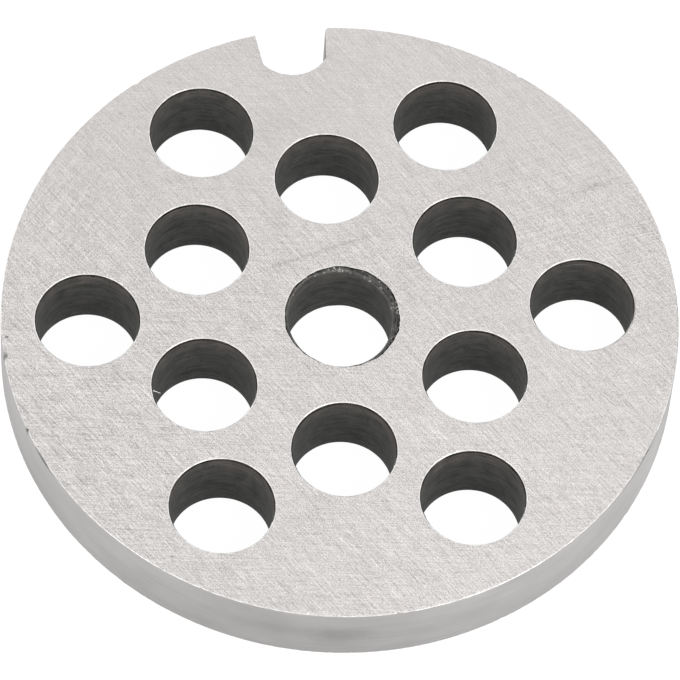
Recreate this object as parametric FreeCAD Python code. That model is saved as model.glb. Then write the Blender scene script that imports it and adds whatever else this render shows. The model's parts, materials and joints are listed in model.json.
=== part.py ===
import FreeCAD, Part
import math
import os

# Perforated plate of a household meat grinder: a ground steel disc, one solid.
# Millimetres and degrees. The origin is the centre of the underside, on the bore's axis.
# +Z points up to the face that the knife runs on, and +Y points out of the key notch.

# Disc
PLATE_DIAMETER = 53.5
PLATE_THICKNESS = 6.2
RIM_EDGE_BREAK = 0.1

# Bore in the middle, for the stud at the end of the feed screw
BORE_DIAMETER = 8.3

# Countersinks of the bore, cut by hand, so that each wandered off the bore's axis
COUNTERSINK_ANGLE = 60.0
TOP_SINK_DIAMETER = 9.02
TOP_SINK_WANDER_X = 0.19
TOP_SINK_WANDER_Y = -0.11
UNDER_SINK_DIAMETER = 8.72
UNDER_SINK_WANDER_X = 0.14
UNDER_SINK_WANDER_Y = 0.03

# Passages for the meat, in two staggered rings: RIM_WEB is the steel outside the outer ring,
# and INNER_RING_SHARE is the inner ring's radius as a share of the outer one's
PASSAGE_DIAMETER = 8.0
PASSAGE_EDGE_BREAK = 0.1
PASSAGES_PER_RING = 6
RIM_WEB = 3.2
INNER_RING_SHARE = 0.628
PATTERN_TURN = -5.4
PATTERN_SHIFT_X = -0.35
PATTERN_SHIFT_Y = 0.25

# Key notch in the rim: its walls close in a little towards an arched floor
NOTCH_MOUTH_WIDTH = 5.85
NOTCH_FLOOR_WIDTH = 5.4
NOTCH_DEPTH = 4.37
NOTCH_FLOOR_SAG = 1.48
NOTCH_CORNER_ROUND = 0.3

# How far each cutter runs past the face that it starts from
CUTTER_OVERRUN = 1.0

PLATE_RADIUS = PLATE_DIAMETER / 2
UP = FreeCAD.Vector(0, 0, 1)


def point(x, y, z=0.0):
    return FreeCAD.Vector(x, y, z)


def turned(profile):
    """A solid turned about Z from its outline of (radius, height) corners."""
    corners = [point(radius, 0, height) for radius, height in profile]
    outline = Part.makePolygon(corners + [corners[0]])
    return Part.Face(outline).revolve(point(0, 0), UP, 360)


def notch_cutter():
    """The key notch in plan, as tall as the plate and more. The grinding leaves its edges sharp."""
    half_mouth = NOTCH_MOUTH_WIDTH / 2
    half_floor = NOTCH_FLOOR_WIDTH / 2
    mouth_y = math.sqrt(PLATE_RADIUS ** 2 - half_mouth ** 2)
    floor_y = PLATE_RADIUS - NOTCH_DEPTH
    corner_y = floor_y + NOTCH_FLOOR_SAG
    outer_y = PLATE_RADIUS + CUTTER_OVERRUN
    lean = (half_mouth - half_floor) / (mouth_y - corner_y)
    half_outer = half_floor + lean * (outer_y - corner_y)

    right_corner = point(half_floor, corner_y, -CUTTER_OVERRUN)
    left_corner = point(-half_floor, corner_y, -CUTTER_OVERRUN)
    right_outer = point(half_outer, outer_y, -CUTTER_OVERRUN)
    left_outer = point(-half_outer, outer_y, -CUTTER_OVERRUN)
    plan = Part.Wire([
        Part.Arc(left_corner, point(0, floor_y, -CUTTER_OVERRUN), right_corner).toShape(),
        Part.makeLine(right_corner, right_outer),
        Part.makeLine(right_outer, left_outer),
        Part.makeLine(left_outer, left_corner),
    ])
    return Part.Face(plan).extrude(UP * (PLATE_THICKNESS + 2 * CUTTER_OVERRUN))


def is_right_mouth_edge(edge):
    """True for the upright edge where the notch's right wall meets the rim."""
    top, foot = edge.Vertexes[0].Point, edge.Vertexes[-1].Point
    upright = math.hypot(top.x - foot.x, top.y - foot.y) < 0.001 < abs(top.z - foot.z)
    on_rim = abs(math.hypot(top.x, top.y) - PLATE_RADIUS) < 0.001
    return upright and on_rim and abs(top.x - NOTCH_MOUTH_WIDTH / 2) < 0.01


def rim_edge_cutter():
    """A ring that breaks the rim's upper edge at 45 degrees."""
    return turned([
        (PLATE_RADIUS - RIM_EDGE_BREAK - CUTTER_OVERRUN, PLATE_THICKNESS + CUTTER_OVERRUN),
        (PLATE_RADIUS + CUTTER_OVERRUN, PLATE_THICKNESS - RIM_EDGE_BREAK - CUTTER_OVERRUN),
        (PLATE_RADIUS + CUTTER_OVERRUN, PLATE_THICKNESS + CUTTER_OVERRUN),
    ])


def turned_over(shape):
    """The same shape on the other face: turned half round the Y axis at mid thickness."""
    copy = shape.copy()
    copy.rotate(point(0, 0, PLATE_THICKNESS / 2), point(0, 1, 0), 180)
    return copy


def notched_disc():
    """The disc with its key notch, one mouth corner worn round, and the rim's edge broken on both faces."""
    disc = Part.makeCylinder(PLATE_RADIUS, PLATE_THICKNESS).cut(notch_cutter())
    mouth_edges = [edge for edge in disc.Edges if is_right_mouth_edge(edge)]
    disc = disc.makeFillet(NOTCH_CORNER_ROUND, mouth_edges)
    return disc.cut(rim_edge_cutter()).cut(turned_over(rim_edge_cutter()))


def passage_cutter():
    """A drill for one passage, flared at 45 degrees where it breaks the edge on each face."""
    radius = PASSAGE_DIAMETER / 2
    flared = radius + PASSAGE_EDGE_BREAK + CUTTER_OVERRUN
    return turned([
        (0, -CUTTER_OVERRUN),
        (flared, -CUTTER_OVERRUN),
        (radius, PASSAGE_EDGE_BREAK),
        (radius, PLATE_THICKNESS - PASSAGE_EDGE_BREAK),
        (flared, PLATE_THICKNESS + CUTTER_OVERRUN),
        (0, PLATE_THICKNESS + CUTTER_OVERRUN),
    ])


def ring_of_passages(ring_radius, first_angle):
    """One ring's cutters, evenly spaced about the drilled pattern's own centre."""
    cutters = []
    for index in range(PASSAGES_PER_RING):
        angle = math.radians(90 + first_angle + index * 360 / PASSAGES_PER_RING)
        cutter = passage_cutter()
        cutter.translate(point(
            PATTERN_SHIFT_X + ring_radius * math.cos(angle),
            PATTERN_SHIFT_Y + ring_radius * math.sin(angle),
        ))
        cutters.append(cutter)
    return cutters


def top_countersink(diameter, wander_x, wander_y):
    """A cone that opens the bore's upper end to this diameter."""
    slope = math.tan(math.radians(COUNTERSINK_ANGLE / 2))
    cone = turned([
        (0, PLATE_THICKNESS - diameter / 2 / slope),
        (diameter / 2 + CUTTER_OVERRUN * slope, PLATE_THICKNESS + CUTTER_OVERRUN),
        (0, PLATE_THICKNESS + CUTTER_OVERRUN),
    ])
    cone.translate(point(wander_x, wander_y))
    return cone


def bore_cutters():
    """The drill for the bore and a countersink for each face."""
    drill = Part.makeCylinder(
        BORE_DIAMETER / 2, PLATE_THICKNESS + 2 * CUTTER_OVERRUN, point(0, 0, -CUTTER_OVERRUN))
    top_sink = top_countersink(TOP_SINK_DIAMETER, TOP_SINK_WANDER_X, TOP_SINK_WANDER_Y)
    under_sink = top_countersink(UNDER_SINK_DIAMETER, -UNDER_SINK_WANDER_X, UNDER_SINK_WANDER_Y)
    return [drill, top_sink, turned_over(under_sink)]


def grinder_plate():
    """The whole plate: the notched disc, drilled with two staggered rings of passages and the bore."""
    outer_ring_radius = PLATE_RADIUS - RIM_WEB - PASSAGE_DIAMETER / 2
    inner_ring_radius = INNER_RING_SHARE * outer_ring_radius
    half_step = 180 / PASSAGES_PER_RING
    cutters = ring_of_passages(inner_ring_radius, PATTERN_TURN)
    cutters += ring_of_passages(outer_ring_radius, PATTERN_TURN + half_step)
    cutters += bore_cutters()
    plate = notched_disc()
    for cutter in cutters:
        plate = plate.cut(cutter)
    return plate


os.makedirs("parts", exist_ok=True)
plate = grinder_plate()
plate.exportStep("parts/grinder_plate.step")
box = plate.BoundBox
print("solids", len(plate.Solids), "valid", plate.isValid(), "volume mm3", round(plate.Volume, 1))
print("faces", len(plate.Faces), "box mm", round(box.XLength, 3), round(box.YLength, 3), round(box.ZLength, 3))
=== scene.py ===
# %% [markdown]
# # A meat grinder plate, lit on a white table
#
# The object is a steel disc, 53.5 mm across and 6.2 mm thick. Meat is pressed through its twelve
# passages and a knife sweeps over its upper face. It is one piece of metal, but the eye sees six
# finishes on it: ground faces, bright worn edges, a turned rim, dark drilled holes, a speckled
# countersink and a milled notch.
#
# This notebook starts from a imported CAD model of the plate, which gives the true sizes. It then
# models the same plate again as a finer mesh, because small dents, rough hole edges and rounded
# corners need more vertices than the CAD mesh has. Blender works in metres, so every size below is
# multiplied by MM. NEAR is the gap within which two places count as the same.

# %% Load the CAD model, which is the frame for everything else
import json
from math import asin, atan2, cos, pi, radians, sin, sqrt, tan

import bpy
from mathutils import Matrix, Vector

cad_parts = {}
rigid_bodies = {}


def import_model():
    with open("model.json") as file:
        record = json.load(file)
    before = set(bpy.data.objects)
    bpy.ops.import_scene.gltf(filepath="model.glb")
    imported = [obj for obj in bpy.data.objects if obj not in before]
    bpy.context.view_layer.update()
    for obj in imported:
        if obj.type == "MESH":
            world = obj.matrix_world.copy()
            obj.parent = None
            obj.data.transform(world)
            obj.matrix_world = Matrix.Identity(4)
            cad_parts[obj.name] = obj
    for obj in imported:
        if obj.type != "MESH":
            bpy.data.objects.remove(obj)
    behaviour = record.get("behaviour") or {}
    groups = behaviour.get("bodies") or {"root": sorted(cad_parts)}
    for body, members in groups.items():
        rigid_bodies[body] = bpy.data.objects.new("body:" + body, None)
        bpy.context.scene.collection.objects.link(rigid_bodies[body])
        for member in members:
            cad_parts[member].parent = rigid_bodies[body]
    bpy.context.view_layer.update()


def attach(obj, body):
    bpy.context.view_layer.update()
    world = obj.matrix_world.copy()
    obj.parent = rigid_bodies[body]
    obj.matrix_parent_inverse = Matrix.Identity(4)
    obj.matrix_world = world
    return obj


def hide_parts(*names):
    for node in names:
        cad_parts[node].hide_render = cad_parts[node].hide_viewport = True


bpy.ops.object.select_all(action="SELECT")
bpy.ops.object.delete()
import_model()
MM = 0.001
NEAR = 0.01 * MM

# %% [markdown]
# ## Sizes
#
# A maker reads these off the drawing. The two rings of passages share a centre that lies a little
# off the plate's own, and the whole pattern is turned by a few degrees from the notch, as the drill
# jig left it. A passage is a little wider at its mouth than inside. The notch isn't even: its right
# wall stands closer to the plate's middle line than its left one, so the two sides have sizes of
# their own.

# %% Sizes of the plate
PLATE_RADIUS = 26.75 * MM
THICKNESS = 6.2 * MM

PASSAGE_RADIUS = 4.0 * MM
PASSAGE_MOUTH = 4.08 * MM
PASSAGES_PER_RING = 6
HALF_STEP = 180 // PASSAGES_PER_RING
RING_RADII = (12.2774 * MM, 19.55 * MM)
PATTERN_CENTRE = Vector((-0.35, 0.25, 0)) * MM
PATTERN_TURN = -5.4

BORE_RADIUS = 4.15 * MM
SINK_HALF_ANGLE = 30
SINK_SLOPE = tan(radians(SINK_HALF_ANGLE))
TOP_SINK_RADIUS = 4.57 * MM
TOP_SINK_WANDER = Vector((0.16, -0.17, 0)) * MM
UNDER_SINK_RADIUS = 4.36 * MM
UNDER_SINK_WANDER = Vector((0.14, 0.03, 0)) * MM

NOTCH_LEFT_MOUTH = 2.87 * MM
NOTCH_LEFT_FLOOR = 2.64 * MM
NOTCH_RIGHT_MOUTH = 2.81 * MM
NOTCH_RIGHT_FLOOR = 2.48 * MM
NOTCH_DEPTH = 4.27 * MM
NOTCH_SAG = 1.34 * MM
NOTCH_CORNER_ROUND = 0.3 * MM


def passage_centres():
    """The middles of the passages: an inner ring, and an outer ring half a step further round."""
    centres = []
    for ring, ring_radius in enumerate(RING_RADII):
        for index in range(PASSAGES_PER_RING):
            angle = radians(90 + PATTERN_TURN + HALF_STEP * ring + 2 * HALF_STEP * index)
            centres.append(PATTERN_CENTRE + ring_radius * Vector((cos(angle), sin(angle), 0)))
    return centres


print("passages:", len(passage_centres()))

# %% [markdown]
# ## Helpers for working by hand in code
#
# In the Blender window a modeller clicks on an edge and presses a key. A script has to say which
# edge, so one helper selects by place and leaves edit mode on. Operators act on everything that is
# selected, and a loaded model arrives selected, so the helper first deselects the rest.

# %% Selecting by place
def only(*pieces):
    """Selects these objects and nothing else, and makes the first one active."""
    if bpy.context.object and bpy.context.object.mode != "OBJECT":
        bpy.ops.object.mode_set(mode="OBJECT")
    bpy.ops.object.select_all(action="DESELECT")
    for piece in pieces:
        piece.select_set(True)
    bpy.context.view_layer.objects.active = pieces[0]


def pick(piece, kind, wanted):
    """Enters edit mode with those vertices, edges or faces selected whose corners pass the test."""
    only(piece)
    bpy.ops.object.mode_set(mode="EDIT")
    bpy.ops.mesh.select_mode(type=kind)
    bpy.ops.mesh.select_all(action="DESELECT")
    bpy.ops.object.mode_set(mode="OBJECT")
    mesh = piece.data
    if kind == "VERT":
        chosen = [vertex for vertex in mesh.vertices if wanted([vertex.co])]
    else:
        parts = mesh.edges if kind == "EDGE" else mesh.polygons
        chosen = [part for part in parts if wanted([mesh.vertices[i].co for i in part.vertices])]
    for part in chosen:
        part.select = True
    bpy.ops.object.mode_set(mode="EDIT")


def circle(name, steps, radius, centre, tilt=None):
    """An open ring of edges at its size and place, with its transform applied."""
    bpy.ops.mesh.primitive_circle_add(vertices=steps, radius=radius, location=centre)
    piece = bpy.context.object
    piece.name = piece.data.name = name
    if tilt:
        piece.rotation_mode = "QUATERNION"
        piece.rotation_quaternion = tilt
    only(piece)
    bpy.ops.object.transform_apply(location=True, rotation=True, scale=True)
    return piece


def at_height(height):
    """A test for pick: true where all the corners lie at this height."""
    return lambda points: all(abs(point.z - height) < 0.2 * NEAR for point in points)


print("helpers ready")

# %% [markdown]
# ## The outline with its key notch
#
# The rim is a plain circle, turned on a lathe. The notch was milled into it afterwards, so it is
# drawn that way too: a ring of edges, with the vertices across the notch's mouth deleted, and the
# gap closed by extruding the loose ends. The arched floor of the notch is a spin of one vertex
# about the arc's centre. One mouth corner is still sharp and the other has worn round, which is a
# second, tiny spin. The sharp corner gets some room on both sides, because bands are added along
# these edges later and short edges at a corner would cross over.

# %% Points of the notch, worked out from its sizes
def rim_point(x):
    """The place on the rim's top edge with this x, on the notch's side."""
    return Vector((x, sqrt(PLATE_RADIUS ** 2 - x ** 2), THICKNESS))


floor_y = PLATE_RADIUS - NOTCH_DEPTH
corner_y = floor_y + NOTCH_SAG
left_mouth = rim_point(-NOTCH_LEFT_MOUTH)
left_corner = Vector((-NOTCH_LEFT_FLOOR, corner_y, THICKNESS))
right_corner = Vector((NOTCH_RIGHT_FLOOR, corner_y, THICKNESS))
right_mouth = rim_point(NOTCH_RIGHT_MOUTH)

half_arch = (NOTCH_LEFT_FLOOR + NOTCH_RIGHT_FLOOR) / 2
arch_radius = (half_arch ** 2 + NOTCH_SAG ** 2) / (2 * NOTCH_SAG)
arch_centre = Vector((NOTCH_RIGHT_FLOOR - half_arch, floor_y + arch_radius, THICKNESS))
arch_angle = 2 * asin(half_arch / arch_radius)


def corner_round():
    """The worn corner: its centre, and where it meets the wall and the rim."""
    along = (right_mouth - right_corner).normalized()
    outward = Vector((along.y, -along.x, 0))
    start = right_corner + outward * NOTCH_CORNER_ROUND
    start.z = 0
    reach = PLATE_RADIUS - NOTCH_CORNER_ROUND
    share = start.dot(along)
    run = -share + sqrt(share ** 2 - start.length_squared + reach ** 2)
    centre = start + along * run
    on_wall = centre - outward * NOTCH_CORNER_ROUND
    on_rim = centre.normalized() * PLATE_RADIUS
    lift = Vector((0, 0, THICKNESS))
    return centre + lift, on_wall + lift, on_rim + lift


round_centre, round_on_wall, round_on_rim = corner_round()
print("worn corner meets the rim at mm", [round(value / MM, 3) for value in round_on_rim])

# %% Draw the outline
RIM_STEPS = 1080
ARCH_STEPS = 60
ROUND_STEPS = 6
CORNER_ROOM = 0.3 * MM


def nearest(piece, place):
    """The vertex position of a piece that lies nearest to a place."""
    return min((vertex.co.copy() for vertex in piece.data.vertices), key=lambda co: (co - place).length)


def select_end(piece, place):
    """Selects the one vertex that lies at a place."""
    pick(piece, "VERT", lambda points: (points[0] - place).length < 0.1 * NEAR)


def draw_to(piece, start, end):
    """Extrudes the loose end at start to end, as a straight edge."""
    select_end(piece, start)
    bpy.ops.mesh.extrude_region_move(TRANSFORM_OT_translate={"value": end - start})
    bpy.ops.object.mode_set(mode="OBJECT")


def spin_from(piece, start, centre, angle, steps):
    """Spins the loose end at start about a centre, as an arc of edges."""
    select_end(piece, start)
    bpy.ops.mesh.spin(steps=steps, angle=-angle, center=centre, axis=(0, 0, 1))
    bpy.ops.object.mode_set(mode="OBJECT")


def flat_angle(start, centre, end):
    """The turn from start to end as seen from above, about a centre."""
    before = atan2(start.y - centre.y, start.x - centre.x)
    after = atan2(end.y - centre.y, end.x - centre.x)
    return (after - before + pi) % (2 * pi) - pi


outline = circle("outline", RIM_STEPS, PLATE_RADIUS, (0, 0, THICKNESS))
gap_start = left_mouth.x - CORNER_ROOM
pick(outline, "VERT", lambda points: points[0].y > 0 and gap_start < points[0].x < round_on_rim.x)
bpy.ops.mesh.delete(type="VERT")
bpy.ops.object.mode_set(mode="OBJECT")
left_end = nearest(outline, left_mouth)
right_end = nearest(outline, round_on_rim)

draw_to(outline, left_end, left_mouth)
draw_to(outline, left_mouth, left_corner)
spin_from(outline, left_corner, arch_centre, arch_angle, ARCH_STEPS)
draw_to(outline, nearest(outline, right_corner), round_on_wall)
round_angle = flat_angle(round_on_wall, round_centre, round_on_rim)
spin_from(outline, round_on_wall, round_centre, round_angle, ROUND_STEPS)
draw_to(outline, nearest(outline, round_on_rim), right_end)
print("outline vertices:", len(outline.data.vertices))
print("arch ends off by mm", round((nearest(outline, right_corner) - right_corner).length / MM, 5))
print("round ends off by mm", round((nearest(outline, round_on_rim) - round_on_rim).length / MM, 5))

# %% [markdown]
# ## Walls, passages and bore
#
# A flat outline becomes a wall when it is extruded downwards, and several short extrusions leave
# rings of vertices that can be dented later. One passage is modelled and then copied, each copy
# with its own mesh. Its top ring is scaled up a little, because the tool that broke its edge has
# opened the mouth. The bore is different: its countersinks were cut by hand and wandered off its
# axis, so the line where a cone meets the bore is a slightly tilted ring. Bridging two rings of
# equal count makes such a wall in one step.

# %% Walls of the rim and the notch
NOTCH_WALL_CUTS = 8
RIM_WALL_RINGS = 8


def extrude_down(piece, rings):
    """Turns a ring of edges at the top face into a wall down to the underside."""
    pick(piece, "EDGE", lambda points: True)
    step = Vector((0, 0, -THICKNESS / rings))
    for _ in range(rings):
        bpy.ops.mesh.extrude_region_move(TRANSFORM_OT_translate={"value": step})
    bpy.ops.object.mode_set(mode="OBJECT")


pick(outline, "EDGE", lambda points: (points[0] - points[1]).length > 1 * MM)
bpy.ops.mesh.subdivide(number_cuts=NOTCH_WALL_CUTS)
extrude_down(outline, RIM_WALL_RINGS)
print("rim and notch faces:", len(outline.data.polygons))

# %% One passage, and its copies
PASSAGE_STEPS = 160
PASSAGE_WALL_RINGS = 6


def copy_to(piece, place):
    """A full copy of a piece, moved to a place, with its transform applied."""
    only(piece)
    bpy.ops.object.duplicate(linked=False)
    copy = bpy.context.object
    copy.location = place
    bpy.ops.object.transform_apply(location=True, rotation=True, scale=True)
    return copy


passage = circle("passage", PASSAGE_STEPS, PASSAGE_RADIUS, (0, 0, THICKNESS))
extrude_down(passage, PASSAGE_WALL_RINGS)
pick(passage, "EDGE", at_height(THICKNESS))
flare = PASSAGE_MOUTH / PASSAGE_RADIUS
bpy.ops.transform.resize(value=(flare, flare, 1), center_override=(0, 0, THICKNESS))
bpy.ops.object.mode_set(mode="OBJECT")
passages = [copy_to(passage, centre) for centre in passage_centres()]
bpy.data.objects.remove(passage)
print("passage walls:", len(passages), "with faces each:", len(passages[0].data.polygons))

# %% The bore and its two countersinks
BORE_STEPS = 240


def seam_ring(sink_radius, wander, face_height, down):
    """Where a countersink meets the bore: radius, centre and tilt of that ring."""
    depth = (sink_radius - BORE_RADIUS) / SINK_SLOPE
    lean = atan2(wander.length / SINK_SLOPE, BORE_RADIUS)
    axis = Vector((0, 0, 1)).cross(wander)
    centre = Vector((0, 0, face_height - down * depth))
    return BORE_RADIUS, centre, Matrix.Rotation(down * lean, 3, axis).to_quaternion()


def sleeve(name, upper, lower, cuts):
    """A tube between two rings, with more rings of vertices in between."""
    rings = [circle(name, BORE_STEPS, *ring) for ring in (upper, lower)]
    only(*rings)
    bpy.ops.object.join()
    pick(rings[0], "EDGE", lambda points: True)
    bpy.ops.mesh.bridge_edge_loops(number_cuts=cuts, interpolation="LINEAR")
    bpy.ops.object.mode_set(mode="OBJECT")
    return rings[0]


top_ring = (TOP_SINK_RADIUS, TOP_SINK_WANDER + Vector((0, 0, THICKNESS)))
under_ring = (UNDER_SINK_RADIUS, UNDER_SINK_WANDER)
upper_seam = seam_ring(TOP_SINK_RADIUS, TOP_SINK_WANDER, THICKNESS, 1)
lower_seam = seam_ring(UNDER_SINK_RADIUS, UNDER_SINK_WANDER, 0, -1)
bore = [
    sleeve("countersink", top_ring, upper_seam, 3),
    sleeve("bore_wall", upper_seam, lower_seam, 9),
    sleeve("under_countersink", lower_seam, under_ring, 1),
]
print("bore sleeves, faces:", [len(part.data.polygons) for part in bore])

# %% [markdown]
# ## Closing the two faces
#
# All the walls are joined into one mesh, and the steel between them is a flat face with thirteen
# holes. Fill makes it from the open edges. Its long triangles shade well, because the face is flat,
# but they leave nothing to shape beside the edges. Two insets add narrow bands there, all along the
# rim, the notch and every hole. Together the bands are narrower than the worn corner's radius,
# because an inset past the centre of a curve turns it inside out.

# %% Join, fill, and add bands beside the edges
FIRST_BAND = 0.17 * MM
SECOND_BAND = 0.10 * MM

only(outline, *passages, *bore)
bpy.ops.object.join()
plate = outline
plate.name = plate.data.name = "ground_plate"
pick(plate, "VERT", lambda points: True)
bpy.ops.mesh.remove_doubles(threshold=0.1 * NEAR)

for face_height in (THICKNESS, 0):
    pick(plate, "EDGE", at_height(face_height))
    bpy.ops.mesh.fill(use_beauty=True)
pick(plate, "FACE", lambda points: True)
bpy.ops.mesh.normals_make_consistent(inside=False)

for face_height in (THICKNESS, 0):
    pick(plate, "FACE", at_height(face_height))
    bpy.ops.mesh.inset(thickness=FIRST_BAND, use_even_offset=True)
    bpy.ops.mesh.inset(thickness=SECOND_BAND, use_even_offset=True)
bpy.ops.mesh.select_mode(type="EDGE")
bpy.ops.mesh.select_all(action="DESELECT")
bpy.ops.mesh.select_non_manifold()
bpy.ops.object.mode_set(mode="OBJECT")
print("faces:", len(plate.data.polygons), "open edges:", sum(edge.select for edge in plate.data.edges))

# %% [markdown]
# ## The ragged countersink
#
# The bore's countersinks were cut with a hand-held tool that chattered, so their rims wander in and
# out by a tenth of a millimetre. The Displace modifier moves vertices by a procedural texture. Here
# it moves them sideways only, so the rim stays in the plane of the face. It is used three times:
# two broad textures push along X and along Y, and a fine one adds the chatter. A vertex group
# limits it to the two cones.

# %% Displacing a group of vertices
BOTH_WAYS = 0.5
INWARDS = 1.0


def group_of(piece, name, share_at):
    """Adds a vertex group in which each vertex has the share, from 0 to 1, that its place gives it."""
    group = piece.vertex_groups.new(name=name)
    members = 0
    for vertex in piece.data.vertices:
        share = share_at(vertex.co)
        if share > 0:
            group.add([vertex.index], share, "REPLACE")
            members += 1
    return members


def displace(piece, group_name, direction, size, strength, middle):
    """Moves a group by a cloudy texture of this grain size. Its middle value moves nothing."""
    cloud = bpy.data.textures.new(group_name, "CLOUDS")
    cloud.noise_scale = size
    cloud.noise_depth = 2
    only(piece)
    bpy.ops.object.modifier_add(type="DISPLACE")
    push = piece.modifiers[-1]
    push.texture = cloud
    push.texture_coords = "LOCAL"
    push.vertex_group = group_name
    push.direction = direction
    push.strength = strength
    push.mid_level = middle
    bpy.ops.object.modifier_apply(modifier=push.name)


CONE_DEPTH = 1.1 * MM
CONE_REACH = 0.7 * MM
FULL_STRAY_GAP = 0.3 * MM


def countersink_share(point):
    """How far a vertex may stray: fully where a cone is wide, not at all where it meets the bore."""
    for rim_centre, rim_radius, face_height in (
            (TOP_SINK_WANDER, TOP_SINK_RADIUS, THICKNESS), (UNDER_SINK_WANDER, UNDER_SINK_RADIUS, 0)):
        end_gap = abs(point.z - face_height)
        on_face = end_gap < 0.1 * NEAR
        on_rim = abs((point.xy - rim_centre.xy).length - rim_radius) < NEAR
        bore_gap = point.xy.length - BORE_RADIUS
        if end_gap < CONE_DEPTH and bore_gap < CONE_REACH and (on_rim or not on_face):
            return max(0, min(1, bore_gap / FULL_STRAY_GAP))
    return 0


cone_vertices = group_of(plate, "countersinks", countersink_share)
STRAYS = (
    # direction, then grain size and strength in mm
    ("X", 1.5, 0.26), ("Y", 1.2, 0.26), ("X", 0.35, 0.12),
)
for direction, size, strength in STRAYS:
    displace(plate, "countersinks", direction, size * MM, strength * MM, BOTH_WAYS)
print("vertices in the countersinks:", cone_vertices)

# %% [markdown]
# ## Broken edges
#
# A sharp edge on hard steel chips, so the turner breaks the rim's edge and the driller breaks each
# passage's edge on the knife's face. The notch, the bore and the underside kept sharper edges. One
# Bevel modifier can do both when each edge carries a weight, which is its share of the widest
# break. The same modifier puts its new faces in a material slot of their own. That slot later picks
# out the edges for their bright worn finish. Inside a hole most of the break is covered by scale.
# Only its outermost strip is bright, and at the front of the hole, where the plate is wiped and
# gripped, the whole break has been rubbed bright.

# %% Bevel by weight
PASSAGE_BREAK = 0.14 * MM
RIM_BREAK = 0.07 * MM
FINE_BREAK = 0.04 * MM
SHARP_ANGLE = radians(45)
BEVEL_SEGMENTS = 3
FINISHES = (
    "ground_face", "worn_edge", "turned_rim", "drilled_scale", "countersink_cut", "milled_notch")
GROUND, WORN, TURNED, SCALE, SINK, MILLED = range(len(FINISHES))

for finish_name in FINISHES:
    plate.data.materials.append(bpy.data.materials.new(finish_name))

centres = passage_centres()


def passage_reach(point):
    """How far a point lies from the middle of the nearest passage, seen from above."""
    return min((point.xy - centre.xy).length for centre in centres)


def edge_break(points):
    """How wide an edge is broken: most at the passages of the knife's face, then at its rim."""
    middle = (points[0] + points[1]) / 2
    if middle.z < THICKNESS / 2:
        return FINE_BREAK
    if passage_reach(middle) < PASSAGE_MOUTH + NEAR:
        return PASSAGE_BREAK
    return RIM_BREAK if middle.xy.length > PLATE_RADIUS - NEAR else FINE_BREAK


pick(plate, "EDGE", lambda points: False)
bpy.ops.mesh.edges_select_sharp(sharpness=SHARP_ANGLE)
bpy.ops.object.mode_set(mode="OBJECT")
mesh = plate.data
weights = mesh.attributes.new("bevel_weight_edge", "FLOAT", "EDGE")
for edge in mesh.edges:
    ends = [mesh.vertices[i].co for i in edge.vertices]
    on_face = at_height(THICKNESS)(ends) or at_height(0)(ends)
    if edge.select and on_face:
        weights.data[edge.index].value = edge_break(ends) / PASSAGE_BREAK

only(plate)
bpy.ops.object.modifier_add(type="BEVEL")
bevel = plate.modifiers[-1]
bevel.limit_method = "WEIGHT"
bevel.width = PASSAGE_BREAK
bevel.segments = BEVEL_SEGMENTS
bevel.material = WORN
bpy.ops.object.modifier_apply(modifier=bevel.name)
print("faces on broken edges:", sum(face.material_index == WORN for face in plate.data.polygons))

# %% Give each wall its finish
SINK_DEPTH = 1.0 * MM
BORE_ZONE = BORE_RADIUS + 1.0 * MM
PASSAGE_ZONE = PASSAGE_MOUTH + 0.2 * MM
RIM_ZONE = PLATE_RADIUS - 0.1 * MM

# How much of a face's normal points up or down, or backwards
FLAT = 0.99
OUTER_STRIP = 0.8
FRONT_OF_HOLE = 0.3


def finish_of(face):
    """The finish that a face has, from where it lies."""
    middle = face.center
    in_bore = middle.xy.length < BORE_ZONE
    in_hole = in_bore or passage_reach(middle) < PASSAGE_ZONE
    rubbed = abs(face.normal.z) > OUTER_STRIP or face.normal.y > FRONT_OF_HOLE
    if face.material_index == WORN and (rubbed or not in_hole):
        return WORN
    if abs(face.normal.z) > FLAT:
        return GROUND
    if in_bore:
        end_gap = min(middle.z, THICKNESS - middle.z)
        return SINK if end_gap < SINK_DEPTH and middle.xy.length > BORE_RADIUS + NEAR else SCALE
    if in_hole:
        return SCALE
    return TURNED if middle.xy.length > RIM_ZONE else MILLED


finish_counts = [0] * len(FINISHES)
for face in plate.data.polygons:
    face.material_index = finish_of(face)
    finish_counts[face.material_index] += 1
print("faces by finish:", dict(zip(plate.data.materials.keys(), finish_counts)))

# %% [markdown]
# ## Worn edges and nicks
#
# Under a lens no edge of this plate is clean. Another Displace, along the normals and only inwards,
# makes the broken edges uneven. The rim has also been knocked. A move with proportional editing
# pushes one vertex in and takes its neighbours along, which is how a dent looks.

# %% Uneven edges
WEAR_GRAIN = 0.4 * MM
WEAR_DEPTH = 0.05 * MM

worn_points = {
    tuple(plate.data.vertices[i].co)
    for face in plate.data.polygons if face.material_index == WORN for i in face.vertices}
edge_vertices = group_of(plate, "worn_edges", lambda point: float(tuple(point) in worn_points))
displace(plate, "worn_edges", "NORMAL", WEAR_GRAIN, WEAR_DEPTH, INWARDS)
print("vertices on worn edges:", edge_vertices)

# %% Nicks in the rim, from knocks
def nick(angle, height, depth, reach):
    """Pushes the rim in at one spot. The angle is in degrees from +X, seen from above."""
    out = Vector((cos(radians(angle)), sin(radians(angle)), 0))
    spot = nearest(plate, out * PLATE_RADIUS + Vector((0, 0, height)))
    pick(plate, "VERT", lambda points: (points[0] - spot).length < 0.1 * NEAR)
    bpy.ops.transform.translate(
        value=-out * depth, use_proportional_edit=True,
        proportional_edit_falloff="SHARP", proportional_size=reach)
    bpy.ops.object.mode_set(mode="OBJECT")


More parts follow.
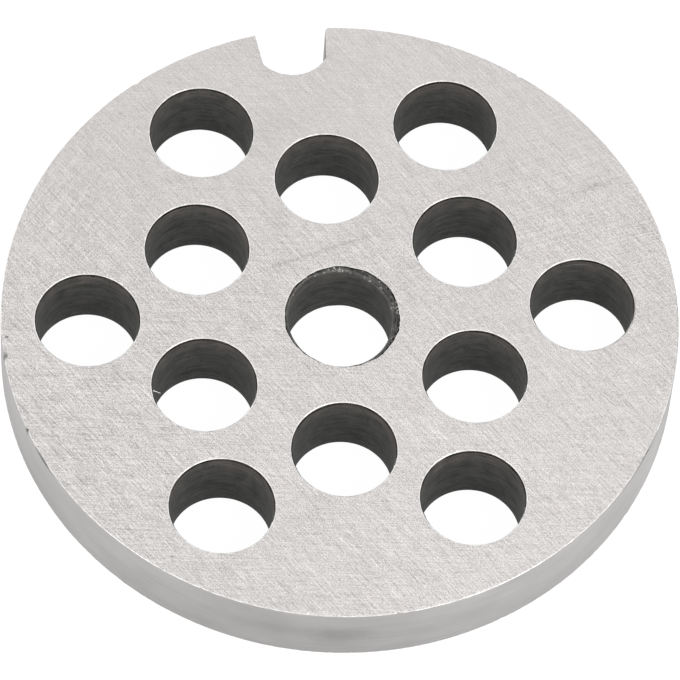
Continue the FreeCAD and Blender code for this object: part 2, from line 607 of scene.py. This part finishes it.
RIM_NICKS = (
    # angle in degrees, then height, depth and reach in mm
    (-179.6, 6.2, 0.28, 0.34), (177.0, 6.2, 0.1, 0.25), (-164.7, 6.1, 0.16, 0.22),
    (-122.2, 6.2, 0.1, 0.22), (-89.0, 6.15, 0.16, 0.24), (-83.0, 6.2, 0.05, 0.25),
    (-36.5, 6.15, 0.06, 0.4), (-31.5, 6.1, 0.05, 0.5), (-27.3, 6.15, 0.07, 0.3),
    (48.6, 6.2, 0.14, 0.4), (7.6, 6.2, 0.14, 0.4), (119.1, 6.2, 0.12, 0.4),
    (-70.0, 0.1, 0.05, 0.4), (150.0, 0.1, 0.15, 0.5), (20.0, 0.0, 0.12, 0.4),
)
SMOOTH_ANGLE = radians(38)

for angle, height, depth, reach in RIM_NICKS:
    nick(angle, height * MM, depth * MM, reach * MM)
only(plate)
bpy.ops.object.shade_smooth_by_angle(angle=SMOOTH_ANGLE)
triangles = sum(len(face.vertices) - 2 for face in plate.data.polygons)
print("nicks:", len(RIM_NICKS), "triangles:", triangles)

# %% [markdown]
# ## A thread of torn metal
#
# The drill left one hair of steel standing in the wall of a passage, and the light catches it. It
# is a tiny disc that is extruded again and again. Each step turns a little downwards and shrinks
# the end, like pulled toffee.

# %% The burr
BURR_FOOT = Vector((-15.66, -4.76, 6.0)) * MM
BURR_TURN = (0, pi / 2, -0.2)
BURR_RADIUS = 0.05 * MM
BURR_SIDES = 8
BURR_SMOOTH_ANGLE = radians(60)
BURR_STEPS = 6
BURR_STEP = Vector((0.11, -0.02, -0.015)) * MM
BURR_SAG = Vector((0, -0.006, -0.008)) * MM
BURR_TAPER = 0.86

bpy.ops.mesh.primitive_circle_add(
    vertices=BURR_SIDES, radius=BURR_RADIUS, fill_type="NGON", location=BURR_FOOT,
    rotation=BURR_TURN)
burr = bpy.context.object
burr.name = burr.data.name = "burr_thread"
only(burr)
bpy.ops.object.transform_apply(location=True, rotation=True, scale=True)
bpy.ops.object.mode_set(mode="EDIT")
bpy.ops.mesh.select_mode(type="FACE")
bpy.ops.mesh.select_all(action="SELECT")
end = BURR_FOOT.copy()
for step_number in range(BURR_STEPS):
    step = BURR_STEP + BURR_SAG * step_number
    end += step
    bpy.ops.mesh.extrude_region_move(TRANSFORM_OT_translate={"value": step})
    bpy.ops.transform.resize(value=(BURR_TAPER, BURR_TAPER, BURR_TAPER), center_override=end)
bpy.ops.mesh.select_all(action="SELECT")
bpy.ops.mesh.normals_make_consistent(inside=False)
bpy.ops.object.mode_set(mode="OBJECT")
bpy.ops.object.shade_smooth_by_angle(angle=BURR_SMOOTH_ANGLE)
burr.data.materials.append(bpy.data.materials["worn_edge"])
print("burr faces:", len(burr.data.polygons), "reaches mm", [round(value / MM, 2) for value in end])

# %% [markdown]
# ## Materials: shared effects first
#
# All finishes on this plate are scratches, stains and tool marks in steel, so three node groups
# carry them. The stain group also carries the light and shade that are painted into the colour.
# Each is built once and placed in a material with its own values. They read Object coordinates,
# which are metres, so the first node of every material turns them into millimetres.

# %% Helpers for node trees
def add_node(tree, kind, label, inputs=None, **settings):
    """Adds a shader node, sets its properties, and fills or links its inputs."""
    made = tree.nodes.new("ShaderNode" + kind)
    made.name = made.label = label
    for key, value in settings.items():
        setattr(made, key, value)
    for socket, value in (inputs or {}).items():
        if isinstance(value, bpy.types.NodeSocket):
            tree.links.new(value, made.inputs[socket])
        else:
            made.inputs[socket].default_value = value
    return made


def maths(tree, operation, label, *values):
    """A Math node's output."""
    return add_node(tree, "Math", label, dict(enumerate(values)), operation=operation).outputs[0]


def ramp(tree, label, value, start, end, low=0.0, high=1.0, smooth=False):
    """A value that goes from low to high while another one goes from start to end."""
    return add_node(tree, "MapRange", label, {
        "Value": value, "From Min": start, "From Max": end, "To Min": low, "To Max": high},
        interpolation_type="SMOOTHSTEP" if smooth else "LINEAR").outputs[0]


def blend(tree, label, share, first, second, kind="FLOAT"):
    """A mix of two values or colours: the first where the share is 0, the second where it is 1."""
    return add_node(tree, "Mix", label, {
        "Factor": share, "A": first, "B": second}, data_type=kind).outputs["Result"]


def part_of(tree, label, place, axis):
    """One coordinate of a place, as a value."""
    return add_node(tree, "SeparateXYZ", label, {0: place}).outputs[axis]


def length_of(tree, label, place):
    """How far a place lies from zero."""
    return add_node(tree, "VectorMath", label, {0: place}, operation="LENGTH").outputs["Value"]


def squeezed(tree, label, place, amounts):
    """A place with each coordinate multiplied, so that noise on it comes out longer or finer."""
    return add_node(tree, "VectorMath", label, {
        0: place, 1: amounts}, operation="MULTIPLY").outputs[0]


def new_group(name, inputs, outputs):
    """An empty node group with named sockets, and its input and output nodes."""
    tree = bpy.data.node_groups.new(name, "ShaderNodeTree")
    for label, kind, value in inputs:
        socket = tree.interface.new_socket(name=label, in_out="INPUT", socket_type="NodeSocket" + kind)
        socket.default_value = value
    for label, kind in outputs:
        tree.interface.new_socket(name=label, in_out="OUTPUT", socket_type="NodeSocket" + kind)
    return tree, tree.nodes.new("NodeGroupInput"), tree.nodes.new("NodeGroupOutput")


print("node helpers ready")

# %% Group: straight tool marks
def build_marks_group():
    """Fine straight marks: noise that is stretched along one direction."""
    tree, source, result = new_group("Tool marks", (
        ("Place", "Vector", (0, 0, 0)), ("Turn", "Float", 0.0), ("Length", "Float", 1.0),
        ("Width", "Float", 0.1), ("Detail", "Float", 2.0)), (("Mark", "Float"),))
    turned = add_node(tree, "VectorRotate", "turn along the marks", {
        "Vector": source.outputs["Place"], "Angle": source.outputs["Turn"]}, rotation_type="Z_AXIS")
    size = add_node(tree, "CombineXYZ", "size of one mark", {
        "X": source.outputs["Length"], "Y": source.outputs["Width"], "Z": 1.0})
    stretched = add_node(tree, "VectorMath", "stretch", {
        0: turned.outputs[0], 1: size.outputs[0]}, operation="DIVIDE")
    noise = add_node(tree, "TexNoise", "marks", {
        "Vector": stretched.outputs[0], "Scale": 1.0, "Detail": source.outputs["Detail"],
        "Roughness": 0.55})
    centred = maths(tree, "SUBTRACT", "centre on zero", noise.outputs["Fac"], 0.5)
    tree.links.new(centred, result.inputs["Mark"])
    return tree


marks_group = build_marks_group()
print("group:", marks_group.name)

# %% Group: one stain or scratch, or one patch of painted light or shade
def build_stain_and_light_group():
    """A soft-edged patch at one place, longer than it is wide, with a ragged outline."""
    tree, source, result = new_group("Stain or painted light", (
        ("Place", "Vector", (0, 0, 0)), ("Centre", "Vector", (0, 0, 0)), ("Turn", "Float", 0.0),
        ("Length", "Float", 5.0), ("Width", "Float", 1.0), ("Ragged", "Float", 0.4)),
        (("Mask", "Float"),))
    offset = add_node(tree, "VectorMath", "from its centre", {
        0: source.outputs["Place"], 1: source.outputs["Centre"]}, operation="SUBTRACT")
    turned = add_node(tree, "VectorRotate", "turn along the stain", {
        "Vector": offset.outputs[0], "Angle": source.outputs["Turn"]}, rotation_type="Z_AXIS")
    half_length = maths(tree, "MULTIPLY", "half length", source.outputs["Length"], 0.5)
    half_width = maths(tree, "MULTIPLY", "half width", source.outputs["Width"], 0.5)
    size = add_node(tree, "CombineXYZ", "half size", {"X": half_length, "Y": half_width, "Z": 0.5})
    scaled = add_node(tree, "VectorMath", "in half sizes", {
        0: turned.outputs[0], 1: size.outputs[0]}, operation="DIVIDE")
    reach = length_of(tree, "reach", scaled.outputs[0])
    noise = add_node(tree, "TexNoise", "ragged outline", {
        "Vector": source.outputs["Place"], "Scale": 1.3, "Detail": 3.0})
    stray = maths(tree, "MULTIPLY", "stray", noise.outputs["Fac"], source.outputs["Ragged"])
    ragged_reach = maths(tree, "ADD", "ragged reach", reach, stray)
    fade = ramp(tree, "fade out", ragged_reach, 0.2, 1.2, low=1.0, high=0.0, smooth=True)
    tree.links.new(fade, result.inputs["Mask"])
    return tree


stain_and_light_group = build_stain_and_light_group()
print("group:", stain_and_light_group.name)

# %% Group: places on a turned surface
def build_unrolled_group():
    """Unrolls a cylinder about Z: distance round it, height, and distance from its axis."""
    tree, source, result = new_group("Unrolled", (
        ("Place", "Vector", (0, 0, 0)), ("Radius", "Float", 26.75)), (("Place", "Vector"),))
    parts = add_node(tree, "SeparateXYZ", "parts", {0: source.outputs["Place"]})
    front = maths(tree, "MULTIPLY", "front", parts.outputs["Y"], -1.0)
    angle = maths(tree, "ARCTAN2", "angle from the front", parts.outputs["X"], front)
    arc = maths(tree, "MULTIPLY", "distance round", angle, source.outputs["Radius"])
    flat = squeezed(tree, "flat", source.outputs["Place"], (1, 1, 0))
    reach = length_of(tree, "distance from axis", flat)
    place = add_node(tree, "CombineXYZ", "unrolled place", {
        "X": arc, "Y": parts.outputs["Z"], "Z": reach})
    tree.links.new(place.outputs[0], result.inputs["Place"])
    return tree


unrolled_group = build_unrolled_group()
print("group:", unrolled_group.name)

# %% [markdown]
# ## The ground face
#
# A grinding wheel leaves thousands of fine straight marks. On this plate most run from upper left
# to lower right. Fainter ones cross them, at an angle that changes over the plate, so there are
# three layers of those, and two soft masks choose between them. Between the marks the metal is
# finely speckled. All of it is fainter at the back and on the right, and clearer on the left. The
# marks go into the colour, because that is how they read at this distance, and into a little bump,
# so that they catch light from other sides. Then come the stains: a faint long scratch beside the
# bore, smudges near the notch and at the edges, and a few specks. Light and shade are painted into
# the colour as well: lighter at the front, darker at the back, and painted shade at the left nick.

# %% Tools for building a steel finish
TOP = THICKNESS / MM


def start_material(name):
    """Clears a material's nodes and gives it a steel shader and a place in millimetres."""
    material = bpy.data.materials[name]
    material.use_nodes = True
    tree = material.node_tree
    tree.nodes.clear()
    output = add_node(tree, "OutputMaterial", "output")
    shader = add_node(tree, "BsdfPrincipled", "steel")
    tree.links.new(shader.outputs[0], output.inputs["Surface"])
    coordinates = add_node(tree, "TexCoord", "coordinates")
    place = add_node(tree, "VectorMath", "millimetres", {
        0: coordinates.outputs["Object"], "Scale": 1 / MM}, operation="SCALE").outputs[0]
    return tree, shader, place


def marks(tree, label, place, turn, length, width, detail):
    """One layer of tool marks, with a mean of zero, in degrees and millimetres."""
    return add_node(tree, "Group", label, {
        "Place": place, "Turn": radians(turn), "Length": length, "Width": width,
        "Detail": detail}, node_tree=marks_group).outputs["Mark"]


def mottle(tree, label, place, size, detail=2.0):
    """Even cloudy noise of one grain size in millimetres, with a mean of zero."""
    noise = add_node(tree, "TexNoise", label, {
        "Vector": place, "Scale": 1 / size, "Detail": detail})
    return maths(tree, "SUBTRACT", label + " centred", noise.outputs["Fac"], 0.5)


def stain(tree, label, place, centre, turn, length, width):
    """The mask of one stain, or of one patch of painted light or shade, in degrees and millimetres."""
    return add_node(tree, "Group", label, {
        "Place": place, "Centre": centre, "Turn": -radians(turn), "Length": length,
        "Width": width}, node_tree=stain_and_light_group).outputs["Mask"]


def total(tree, start, layers):
    """A starting value plus each layer times its weight."""
    value = start
    for label, layer, weight in layers:
        value = maths(tree, "MULTIPLY_ADD", label, layer, weight, value)
    return value


def with_stain_or_painted_light(tree, tone, place, label, centre, turn, length, width, change):
    """The tone with one stain, or one patch of painted light or shade, in it, which makes it lighter or
    darker by the change.
    """
    mask = stain(tree, label, place, centre, turn, length, width)
    return total(tree, tone, (("with " + label, mask, change),))


def tinted(tree, shader, tone, colour):
    """Base colour: one colour, made lighter or darker by the tone."""
    colour_node = add_node(tree, "VectorMath", "colour times tone", {
        0: colour, "Scale": tone}, operation="SCALE")
    tree.links.new(colour_node.outputs[0], shader.inputs["Base Color"])


def steel(shader, metallic, roughness):
    """How much of a metal the finish is, and how dull, the same all over."""
    shader.inputs["Metallic"].default_value = metallic
    shader.inputs["Roughness"].default_value = roughness


def raised(tree, shader, height, distance):
    """Bump from a height, in metres of real depth."""
    bump = add_node(tree, "Bump", "bump", {
        "Height": height, "Strength": 1.0, "Distance": distance})
    tree.links.new(bump.outputs[0], shader.inputs["Normal"])


print("knife's face at mm:", round(TOP, 3))

# %% Ground steel: the marks
MARKS = (
    # name, turn in degrees, then length and width of one mark in mm
    ("grinding marks", 58, 2.8, 0.062), ("fine marks", 54, 1.4, 0.05),
    ("cross marks on the left", 10, 3.0, 0.078), ("cross marks on the right", -9, 3.0, 0.078),
    ("cross marks at the back left", -46, 3.0, 0.078),
    ("deep marks", 64, 1.8, 0.085), ("shiny marks", 60, 1.5, 0.085),
)
SCRATCH_LEVELS = (0.13, 0.26)

tree, shader, place = start_material("ground_face")
grain, fine_grain, cross_left, cross_right, cross_back, deep_marks, shiny_marks = (
    marks(tree, label, place, *sizes, detail=1.0) for label, *sizes in MARKS)
right_side = stain(tree, "right side", place, (20, 8, TOP), 0, 60, 64)
back_left = stain(tree, "back left", place, (-22, 14, TOP), 0, 30, 34)
crossed = blend(tree, "cross marks by side", right_side, cross_left, cross_right)
crossed = blend(tree, "cross marks by corner", back_left, crossed, cross_back)
deep = ramp(tree, "deep scratches", deep_marks, *SCRATCH_LEVELS)
shiny = ramp(tree, "shiny scratches", shiny_marks, *SCRATCH_LEVELS)
speckle = mottle(tree, "speckle", place, 0.055, detail=1.0)
all_marks = total(tree, 0.0, (
    ("grinding marks", grain, 0.68), ("and fine marks", fine_grain, 0.5),
    ("and cross marks", crossed, 0.55), ("and deep scratches", deep, -0.2),
    ("and shiny scratches", shiny, 0.18), ("and speckle", speckle, 2.0)))
print("layers of marks:", len(MARKS))

# %% Ground steel: where the marks are clear
across = part_of(tree, "across the plate", place, "Y")
fading = ramp(tree, "fainter at the back", across, 5.0, 16.0, low=1.0, high=0.56)
rough_side = stain(tree, "front left", place, (-21, -9, TOP), 0, 26, 26)
smooth_side = stain(tree, "right of the bore", place, (13, -3, TOP), 0, 18, 26)
clearness = total(tree, fading, (
    ("clearer at the front left", rough_side, 0.3),
    ("clearer at the back left", back_left, 0.24), ("smoother on the right", smooth_side, -0.2)))
print("ground face nodes so far:", len(tree.nodes))

# %% Ground steel: stains, painted light and shade, and all of it together
# Two rows paint light and shade over the whole face, lighter at the front and darker at the back, and
# the last row is painted shade in the left nick. The rest are stains and specks.
STAINS_AND_PAINTED_LIGHT = (
    # name, x and y in mm, turn in degrees, length and width in mm, how much lighter
    ("painted light at the front", 9.0, -20.0, 0, 80, 56, 0.06), ("painted shade at the back", -14.0, 20.0, 0, 50, 40, -0.03),
    ("long scratch", -0.8, 5.9, 12.7, 17, 0.5, -0.17),
    ("rim smudge", 22.0, 9.0, 14, 7, 1.1, -0.13), ("rim speck", 22.0, 9.2, 0, 0.5, 0.4, -0.3),
    ("notch smudge", -3.0, 17.5, 20, 11, 5, -0.05),
    ("lower left smudge", -21.2, -8.9, -25, 6.5, 2.2, -0.07),
    ("speck one", -6.3, 2.9, 0, 0.4, 0.3, -0.3), ("speck two", -14.7, 20.6, 0, 0.4, 0.3, -0.3),
    ("speck three", -16.1, -19.6, 0, 0.4, 0.3, -0.35),
    ("speck four", 25.3, 2.6, 0, 0.4, 0.3, -0.35), ("speck five", -26.3, 1.4, 0, 0.45, 0.35, -0.7),
    ("shade at the left nick", -26.65, -0.25, 0, 0.8, 0.9, -0.7),
)
GROUND_COLOUR = (0.683, 0.655, 0.644)

cloud = mottle(tree, "broad cloud", place, 9.0)
tone = total(tree, 1.0, (("with the marks", all_marks, clearness), ("with cloud", cloud, 0.08)))
for label, x, y, turn, length, width, change in STAINS_AND_PAINTED_LIGHT:
    tone = with_stain_or_painted_light(tree, tone, place, label, (x, y, TOP), turn, length, width, change)
tinted(tree, shader, tone, GROUND_COLOUR)
raised(tree, shader, total(tree, 0.0, (
    ("height of marks", grain, 1.0), ("height of fine marks", fine_grain, 0.7))), 0.004 * MM)
steel(shader, metallic=1.0, roughness=0.46)
print("ground face nodes:", len(tree.nodes))

# %% Worn edges
WORN_COLOUR = (0.86, 0.85, 0.84)
# Every row here is painted shade on the bright edge: in the two nicks, where the rim below has painted
# shadows under its edge, and at the right end.
EDGE_PAINTED_SHADE = (
    # name, centre in mm, width in mm, how much lighter
    ("painted shade on the first dented edge", (-26.5, -0.25, 6.15), 1.6, -0.7), ("painted shade on the second dented edge", (-25.7, -7.0, 6.1), 1.0, -0.7),
    ("painted shadow on the left edge", (-24.9, -9.7, 6.1), 3.0, -0.7),
    ("painted shadow on the right edge", (21.8, -15.5, 6.1), 6.0, -0.7),
    ("painted shade on the edge's right end", (26.2, -4.0, 6.1), 18.0, -0.65),
)

tree, shader, place = start_material("worn_edge")
glint = mottle(tree, "glint", place, 0.5, detail=3.0)
tone = total(tree, 1.0, (("with glint", glint, 1.3),))
for label, centre, width, change in EDGE_PAINTED_SHADE:
    tone = with_stain_or_painted_light(tree, tone, place, label, centre, 0, width, width, change)
tinted(tree, shader, tone, WORN_COLOUR)
steel(shader, metallic=0.6, roughness=0.3)
print("worn edge nodes:", len(tree.nodes))

# %% [markdown]
# ## The turned rim
#
# The rim was finished on a lathe, so its marks run round it. The unrolled place turns the cylinder
# into a flat strip, whose seam falls in the notch, where there is no rim. Marks are then long along
# the strip and thin across it. The metal is smoother than the faces and mirrors the table, which
# makes it look darker. Light and shade are also painted into its colour: painted shade at the front,
# painted shadows just below the edge in two places, painted shade at the nicks and the far right,
# painted light towards the right end, and a tone that is lighter upwards.

# %% Turned rim
RIM_COLOUR = (0.602, 0.588, 0.582)
# Every row is painted light or shade, not a stain: shade at the front, shadows just below the edge,
# shade at the right end and at the two nicks, and light towards the right end.
RIM_PAINTED_LIGHT_AND_SHADE = (
    # name, angle in degrees from +X, then height, length and width in mm, how much lighter
    ("painted shade at the front", -98.8, 3.1, 7.5, 3.4, -0.2), ("painted shade beside the front", -110.0, 3.4, 13.0, 3.6, -0.12),
    ("painted shadow under the left edge", -158.6, 5.98, 4.4, 0.6, -1.0),
    ("painted shadow under the right edge", -35.4, 5.98, 11.0, 0.5, -0.8),
    ("shade at the right end", -10.0, 3.1, 18.0, 20.0, -0.45),
    ("painted light towards the right end", -31.0, 2.4, 13.0, 9.0, 0.12),
    ("left nick", -179.5, 5.8, 0.9, 1.2, -0.7), ("second nick", -164.7, 5.95, 0.9, 0.6, -0.9),
)

tree, shader, place = start_material("turned_rim")
strip = add_node(tree, "Group", "rim unrolled", {
    "Place": place, "Radius": PLATE_RADIUS / MM}, node_tree=unrolled_group).outputs["Place"]
lines = marks(tree, "turning lines", strip, 0, 6.0, 0.2, detail=3.0)
bands = marks(tree, "broad bands", strip, 0, 5.0, 2.2, detail=1.0)
spots = mottle(tree, "soft spots", place, 2.5, detail=3.0)
height = part_of(tree, "height", place, "Z")
# The height term paints light and shade: the rim comes out lighter upwards and darker at its foot.
tone = total(tree, 0.95, (
    ("with lines", lines, 0.3), ("with bands", bands, 0.2), ("with spots", spots, 0.12),
    ("painted light upwards", height, 0.016)))
for label, angle, painted_height, length, width, change in RIM_PAINTED_LIGHT_AND_SHADE:
    centre = (radians(angle + 90) * PLATE_RADIUS / MM, painted_height, PLATE_RADIUS / MM)
    tone = with_stain_or_painted_light(tree, tone, strip, label, centre, 0, length, width, change)
tinted(tree, shader, tone, RIM_COLOUR)
raised(tree, shader, lines, 0.006 * MM)
steel(shader, metallic=1.0, roughness=0.34)
print("turned rim nodes:", len(tree.nodes))

# %% [markdown]
# ## Drilled holes, countersink and notch
#
# The holes were drilled before the plate was hardened, and the furnace left a dark scale in them
# that nobody ground away. Rings from the drill show through it, broad ones and fine ones, and the
# strongest of the fine ones are bright hairs. They are noise on a place that is squeezed in height,
# so they come out flat and long. Towards the top the walls are painted lighter, as painted light.
# The countersinks cut through the scale, so they are a little lighter and speckled with bright torn
# metal, except on one side, which has a painted shadow and is made duller and less metallic there.
# The notch was milled and is plain grey.

# %% Dark scale in the drilled holes
GREY_SCALE = (0.076, 0.076, 0.073, 1)
BROWN_SCALE = (0.084, 0.077, 0.071, 1)
SCALE_SHINE = 0.16

tree, shader, place = start_material("drilled_scale")
ring_place = squeezed(tree, "rings in mm", place, (0.4, 0.4, 4.2))
rings = mottle(tree, "drill rings", ring_place, 1.0, detail=4.0)
fine_place = squeezed(tree, "fine rings in mm", place, (0.6, 0.6, 11.0))
fine_rings = mottle(tree, "fine rings", fine_place, 1.0)
hairs = ramp(tree, "bright hairs", fine_rings, 0.14, 0.24)
grit = mottle(tree, "grit", place, 0.14)
rubbed = stain(tree, "scale rubbed off in the bore", place, (-4.5, 0.4, 4.9), 0, 11, 11)
patches = mottle(tree, "scale patches", place, 1.0, detail=3.0)
height = part_of(tree, "height", place, "Z")
near_top = ramp(tree, "near the top", height, 4.0, 6.0, smooth=True)
at_lip = ramp(tree, "at the lip", height, 5.98, 6.08)
browner = total(tree, near_top, (("in patches", patches, 2.0),))
scale_colour = blend(tree, "browner upwards", browner, GREY_SCALE, BROWN_SCALE, kind="RGBA")
# Towards the top the walls are made lighter, which is painted light; their browner tint there is the
# scale's own colour.
tinted(tree, shader, total(tree, 1.0, (
    ("with rings", rings, 1.2), ("with fine rings", fine_rings, 1.1),
    ("with bright hairs", hairs, 0.8), ("with patches", patches, 1.2),
    ("with grit", grit, 1.0), ("rubbed off", rubbed, 0.5),
    ("painted light towards the top", near_top, 0.25), ("darker lip", at_lip, -0.9))), scale_colour)
raised(tree, shader, rings, 0.03 * MM)
steel(shader, metallic=0.0, roughness=0.6)
shader.inputs["Specular IOR Level"].default_value = SCALE_SHINE
print("drilled scale nodes:", len(tree.nodes))

# %% Cut countersink
CUT_COLOUR = (0.125, 0.122, 0.116)

tree, shader, place = start_material("countersink_cut")
torn = mottle(tree, "torn metal", place, 0.3, detail=3.0)
patches = mottle(tree, "cut patches", place, 1.1)
fleck_noise = total(tree, mottle(tree, "flecks", place, 0.2), (("in patches", patches, 0.4),))
flecks = ramp(tree, "bright flecks", fleck_noise, 0.1, 0.19)
# shadow_side is a painted shadow on one side of the cone: it darkens the colour there and makes the
# metal duller and less metallic.
shadow_side = stain(tree, "painted shadow side", place, (4.0, -2.2, 6.0), 60, 8.0, 4.0)
at_lip = ramp(tree, "at the lip", part_of(tree, "height", place, "Z"), 5.98, 6.14)
from_axis = length_of(tree, "from the axis", squeezed(tree, "flattened", place, (1, 1, 0)))
at_seam = ramp(tree, "bright seam with the bore", from_axis, 4.31, 4.2)
arcs = squeezed(tree, "chatter in mm", place, (0.5, 0.5, 9.0))
chatter = mottle(tree, "chatter lines", arcs, 1.0)
tinted(tree, shader, total(tree, 1.0, (
    ("with torn metal", torn, 1.4), ("with cut patches", patches, 1.0),
    ("with chatter", chatter, 2.2), ("with flecks", flecks, 3.0), ("bright seam", at_seam, 0.4),
    ("with painted shadow side", shadow_side, -1.0), ("darker lip", at_lip, -0.7))), CUT_COLOUR)
raised(tree, shader, torn, 0.08 * MM)
bare_metal = total(tree, 0.3, (("less metal in the painted shadow", shadow_side, -0.3),))
tree.links.new(bare_metal, shader.inputs["Metallic"])
dullness = total(tree, 0.5, (("duller in the painted shadow", shadow_side, 0.5),))
tree.links.new(dullness, shader.inputs["Roughness"])
shader.inputs["Specular IOR Level"].default_value = SCALE_SHINE
print("countersink nodes:", len(tree.nodes))

# %% Milled notch
NOTCH_COLOUR = (0.42, 0.415, 0.40)

tree, shader, place = start_material("milled_notch")
milling = squeezed(tree, "upright marks", place, (4.0, 4.0, 0.4))
feed_marks = mottle(tree, "milling marks", milling, 1.0)
tone = total(tree, 1.0, (("with milling marks", feed_marks, 0.3),))
tinted(tree, shader, tone, NOTCH_COLOUR)
raised(tree, shader, feed_marks, 0.01 * MM)
steel(shader, metallic=1.0, roughness=0.42)
print("milled notch nodes:", len(tree.nodes))

# %% [markdown]
# ## Table, light and camera
#
# The plate lies on a white table under an even white sky, as for a shop's picture. A white table
# lit by the same lamps would come out grey, so Light Path tells the kinds of rays apart. The camera
# sees mostly plain white, with a little of the lit table left in, which keeps the plate's shadow.
# Steel sees a greyer table that is lighter on both sides, which gives the rim its shades. From
# below the table is clear, and the part of it beneath the plate shines for steel, so that the
# plate's underside doesn't look black.

# %% The table, and how bright steel sees it
TABLE_SIZE = 3.0
TABLE_GAP = 0.02 * MM
IN_STEEL = 0.46
IN_STEEL_RIGHT = 0.2
IN_STEEL_LEFT = 0.14
IN_STEEL_BENEATH = 0.8

bpy.ops.mesh.primitive_plane_add(size=TABLE_SIZE, location=(0, 0, -TABLE_GAP))
table = bpy.context.object
table.name = table.data.name = "table"
white_table = bpy.data.materials.new("white_table")
table.data.materials.append(white_table)
white_table.use_nodes = True
tree = white_table.node_tree
tree.nodes.clear()
place = add_node(tree, "TexCoord", "coordinates").outputs["Object"]
across = part_of(tree, "across the table", place, "X")
lit_right = ramp(
    tree, "lighter on the right", across, -8 * MM, 12 * MM, high=IN_STEEL_RIGHT, smooth=True)
lit_left = ramp(
    tree, "lighter on the left", across, -12 * MM, -25 * MM, high=IN_STEEL_LEFT, smooth=True)
mirror_light = total(tree, IN_STEEL, (
    ("right side", lit_right, 1.0), ("left side", lit_left, 1.0)))
reach = length_of(tree, "distance from the middle", place)
beneath = ramp(
    tree, "beneath the plate", reach, PLATE_RADIUS + NEAR, PLATE_RADIUS - 5 * NEAR,
    high=IN_STEEL_BENEATH)
mirror_light = maths(tree, "MAXIMUM", "or beneath the plate", mirror_light, beneath)
print("table nodes so far:", len(tree.nodes))

# %% What each kind of ray sees of the table
WHITE = (1, 1, 1, 1)
PALE = (0.9, 0.9, 0.9, 1)
PLAIN_WHITE_STRENGTH = 1.09
CAMERA_SHARE = 0.88
STEEL_SHARE = 0.55


def glow(tree, label, strength):
    """A white Emission shader's output."""
    return add_node(tree, "Emission", label, {"Color": WHITE, "Strength": strength}).outputs[0]


def choose(tree, label, share, first, second):
    """A Mix Shader's output: the first shader where the share is 0, the second where it is 1."""
    return add_node(tree, "MixShader", label, {0: share, 1: first, 2: second}).outputs[0]


rays = add_node(tree, "LightPath", "kind of ray").outputs
lit = add_node(tree, "BsdfDiffuse", "lit table", {"Color": PALE}).outputs[0]
plain_white = glow(tree, "plain white", PLAIN_WHITE_STRENGTH)
mirrored = glow(tree, "mirrored in steel", mirror_light)
seen_share = maths(tree, "MULTIPLY", "seen by the camera", rays["Is Camera Ray"], CAMERA_SHARE)
seen = choose(tree, "camera sees", seen_share, lit, plain_white)
steel_share = maths(tree, "MAXIMUM", "all of it beneath", beneath, STEEL_SHARE)
glossy_share = maths(tree, "MULTIPLY", "seen in steel", rays["Is Glossy Ray"], steel_share)
in_steel = choose(tree, "steel sees", glossy_share, seen, mirrored)
backfacing = add_node(tree, "NewGeometry", "which side").outputs["Backfacing"]
clear = add_node(tree, "BsdfTransparent", "clear from below").outputs[0]
both = choose(tree, "top only", backfacing, in_steel, clear)
add_node(tree, "OutputMaterial", "output", {"Surface": both})
print("table nodes:", len(tree.nodes))

# %% Sky and lamps
LAMP_DISTANCE = 0.6
LAMP_SIZE = 0.3
SKY_STRENGTH = 0.95

sky = bpy.data.worlds.new("white_sky")
bpy.context.scene.world = sky
sky.use_nodes = True
sky_shade = sky.node_tree.nodes["Background"]
sky_shade.inputs["Color"].default_value = WHITE
sky_shade.inputs["Strength"].default_value = SKY_STRENGTH


def soft_box(name, azimuth, elevation, energy):
    """A square lamp that faces the plate. Angles in degrees, azimuth from +X, energy in watts."""
    flat = cos(radians(elevation))
    out = Vector((cos(radians(azimuth)) * flat, sin(radians(azimuth)) * flat, sin(radians(elevation))))
    facing = out.to_track_quat("Z", "Y").to_euler()
    bpy.ops.object.light_add(type="AREA", location=out * LAMP_DISTANCE, rotation=facing)
    lamp = bpy.context.object
    lamp.name = lamp.data.name = name
    lamp.data.size = LAMP_SIZE
    lamp.data.energy = energy


soft_box("right_soft_box", -48, 48, 0.8)
soft_box("left_soft_box", -152, 38, 0.5)

bpy.context.scene.view_settings.view_transform = "Standard"
print("sky strength:", sky_shade.inputs["Strength"].default_value)

# %% Camera
CAMERA_AZIMUTH = radians(-12.60)
CAMERA_ELEVATION = radians(60.402)
CAMERA_ROLL = radians(4.517)
CAMERA_TARGET = Vector((-0.371, -2.262, 6.2)) * MM
CAMERA_DISTANCE = 529.25 * MM
SENSOR_WIDTH = 36
LENS = 356.19

back = Vector((
    sin(CAMERA_AZIMUTH) * cos(CAMERA_ELEVATION),
    -cos(CAMERA_AZIMUTH) * cos(CAMERA_ELEVATION),
    sin(CAMERA_ELEVATION)))
level = Vector((0, 0, 1)).cross(back).normalized()
upward = back.cross(level)
camera_x = cos(CAMERA_ROLL) * level + sin(CAMERA_ROLL) * upward
camera_y = -sin(CAMERA_ROLL) * level + cos(CAMERA_ROLL) * upward
turn = Matrix((camera_x, camera_y, back)).transposed()

bpy.ops.object.camera_add()
camera = bpy.context.object
camera.matrix_world = Matrix.Translation(CAMERA_TARGET + back * CAMERA_DISTANCE) @ turn.to_4x4()
camera.data.sensor_width = SENSOR_WIDTH
camera.data.lens = LENS
camera.data.clip_start = 0.05
camera.data.clip_end = 10
bpy.context.scene.camera = camera
print("camera at m:", [round(value, 4) for value in camera.matrix_world.translation])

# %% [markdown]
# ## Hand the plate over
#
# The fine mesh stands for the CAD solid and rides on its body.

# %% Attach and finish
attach(plate, "root")
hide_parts("grinder_plate")
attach(burr, "root")
